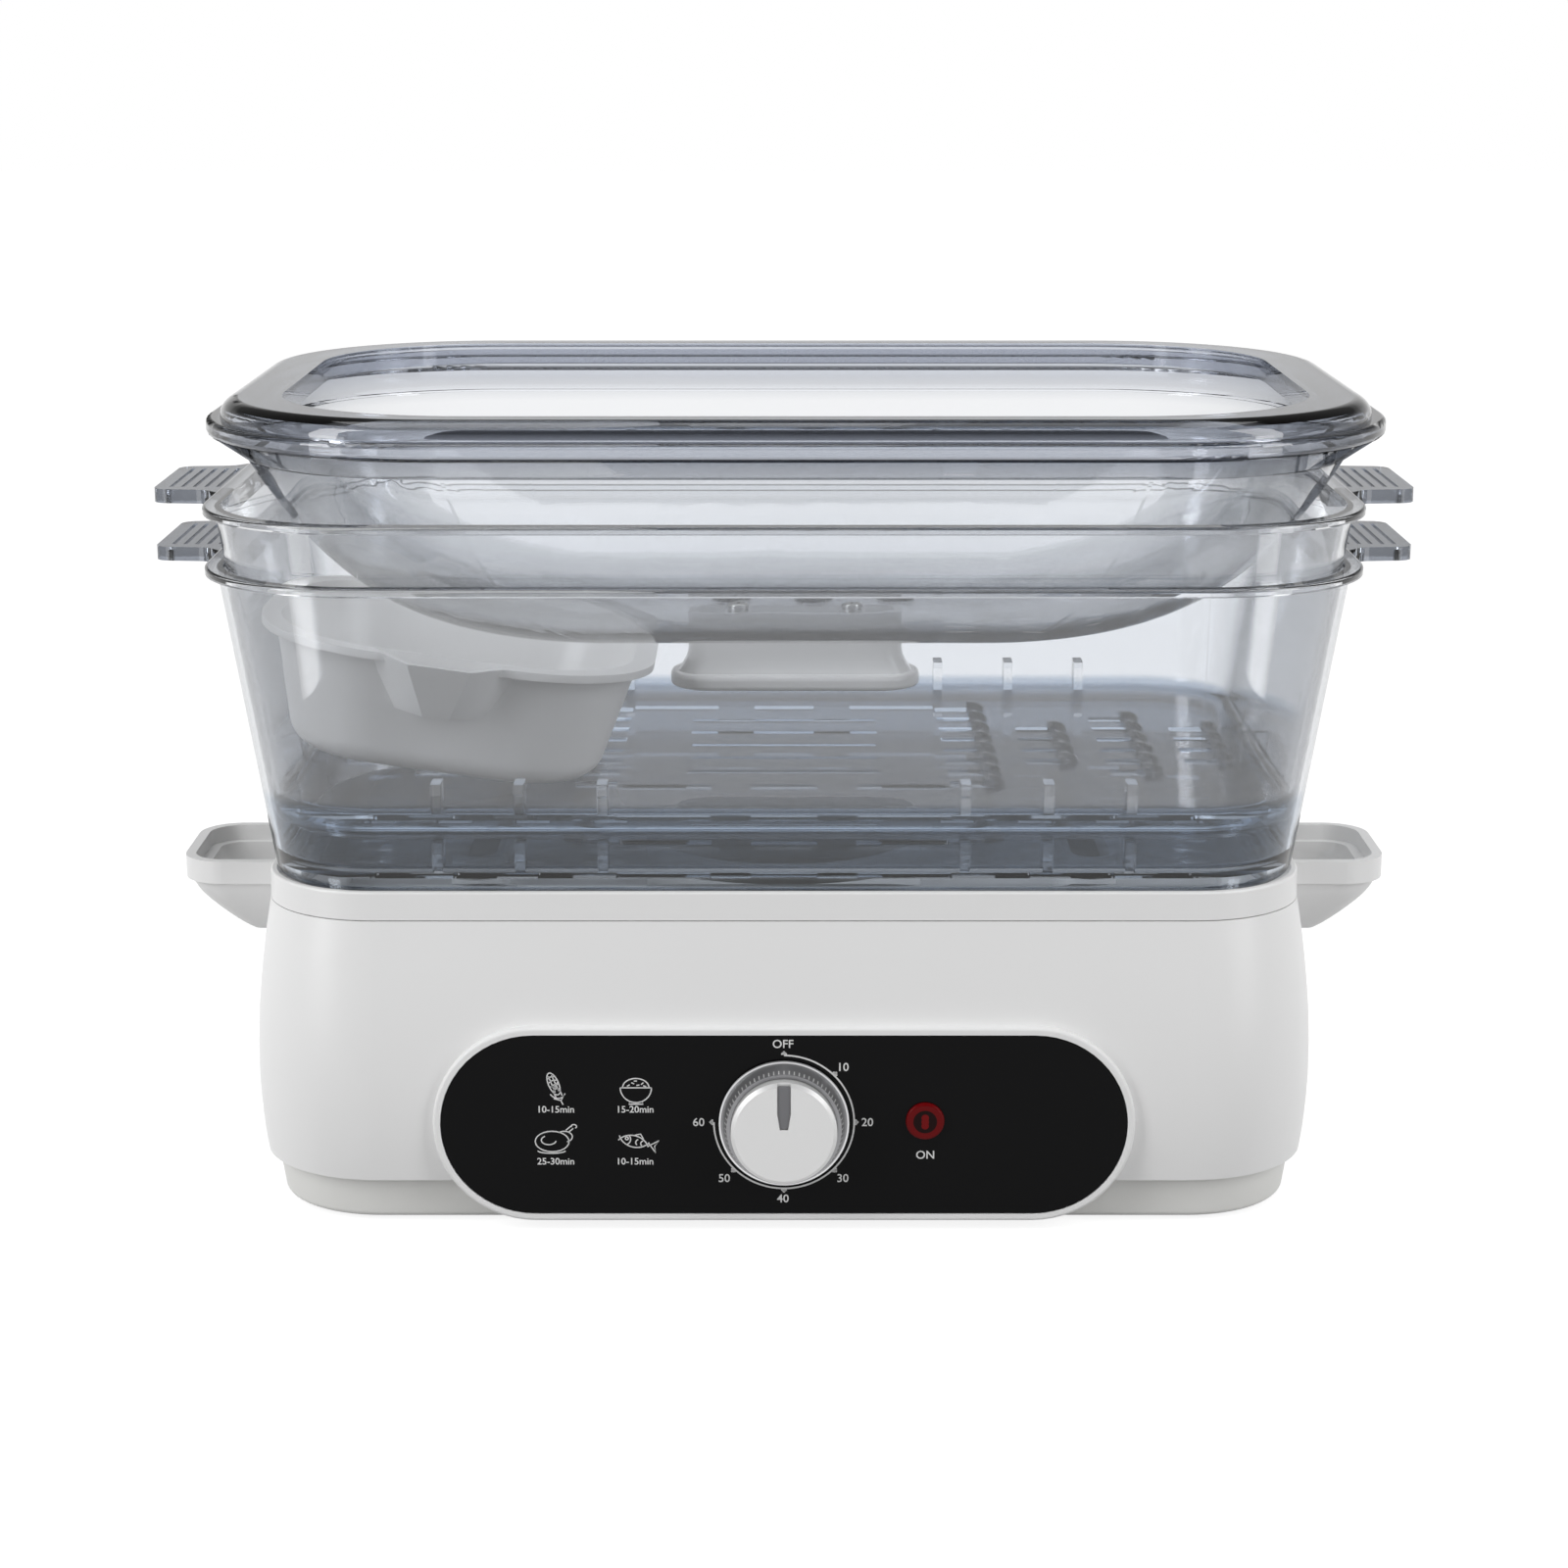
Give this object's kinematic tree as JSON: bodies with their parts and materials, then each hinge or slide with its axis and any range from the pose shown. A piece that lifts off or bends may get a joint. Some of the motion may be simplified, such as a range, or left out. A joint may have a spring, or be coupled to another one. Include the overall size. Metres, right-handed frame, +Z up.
{
  "type": "electric food steamer",
  "caption": "Oblong electric food steamer with a timer knob, nested clear baskets, a rice bowl and an upturned domed lid, stacked for storage.",
  "frame": {"origin": "on the table under the middle of the base", "axes": "+X along the length to the right, +Y to the back, +Z up; the controls face -Y"},
  "size_m": [0.387, 0.235, 0.2422],
  "materials": {
    "white_gloss": "moulded, glossy",
    "white_matte": "moulded, fine matt",
    "grey_rubber": "soft matt",
    "zinc_steel": "zinc plated",
    "black_plastic": "moulded, matt",
    "panel_black": "printed, glossy",
    "timer_case": "phenolic, matt",
    "silver_satin": "satin silver",
    "silver_bright": "satin silver",
    "pointer_grey": "matt grey",
    "lens_red": "clear red",
    "lamp_glass": "clear",
    "silicone": "soft",
    "cast_aluminium": "cast",
    "smoky_clear": "clear smoky blue-grey",
    "bowl_white": "milky, slightly see-through",
    "knob_white": "moulded, glossy"
  },
  "bodies": {
    "base": {"base_housing": "white_gloss", "bottom_cover": "white_matte", "rubber_feet": "grey_rubber", "bottom_screws": "zinc_steel", "cord_gland": "black_plastic", "gland_nut": "black_plastic", "control_panel": "panel_black", "timer_body": "timer_case", "timer_bell": "zinc_steel", "timer_screws": "zinc_steel", "indicator_lens": "lens_red", "neon_lamp": "lamp_glass", "reservoir": "white_matte", "heater_seal": "silicone", "heater_plate": "cast_aluminium", "heating_element": "zinc_steel", "heater_nuts": "zinc_steel", "thermostat": "timer_case", "thermal_fuse": "white_matte"},
    "timer_dial": {"timer_shaft": "zinc_steel", "timer_knob": "silver_satin", "knob_cap": "silver_bright", "pointer_insert": "pointer_grey"},
    "steam_ring": {"steam_ring": "white_matte"},
    "drip_tray": {"drip_tray": "white_gloss"},
    "lower_basket": {"lower_basket": "smoky_clear"},
    "upper_basket": {"upper_basket": "smoky_clear"},
    "rice_bowl": {"rice_bowl": "bowl_white"},
    "lid": {"lid": "smoky_clear", "lid_knob": "knob_white", "lid_knob_screws": "zinc_steel"}
  },
  "joints": [
    {"name": "timer_turn", "type": "hinge", "parent": "base", "child": "timer_dial", "pos_m": [0, -0.1, 0.0342], "axis": [0, 1, 0], "range_deg": [0, 270]},
    {"name": "steam_ring_lift", "type": "slide", "parent": "base", "child": "steam_ring", "axis": [0, 0, 1], "range_m": [0, 0.04]},
    {"name": "drip_tray_lift", "type": "slide", "parent": "steam_ring", "child": "drip_tray", "axis": [0, 0, 1], "range_m": [0, 0.03]},
    {"name": "lower_basket_lift", "type": "slide", "parent": "drip_tray", "child": "lower_basket", "axis": [0, 0, 1], "range_m": [0, 0.03]},
    {"name": "upper_basket_lift", "type": "slide", "parent": "lower_basket", "child": "upper_basket", "axis": [0, 0, 1], "range_m": [0, 0.09]},
    {"name": "rice_bowl_lift", "type": "slide", "parent": "upper_basket", "child": "rice_bowl", "axis": [0, 0, 1], "range_m": [0, 0.095]},
    {"name": "lid_lift", "type": "slide", "parent": "rice_bowl", "child": "lid", "axis": [0, 0, 1], "range_m": [0, 0.075]}
  ]
}
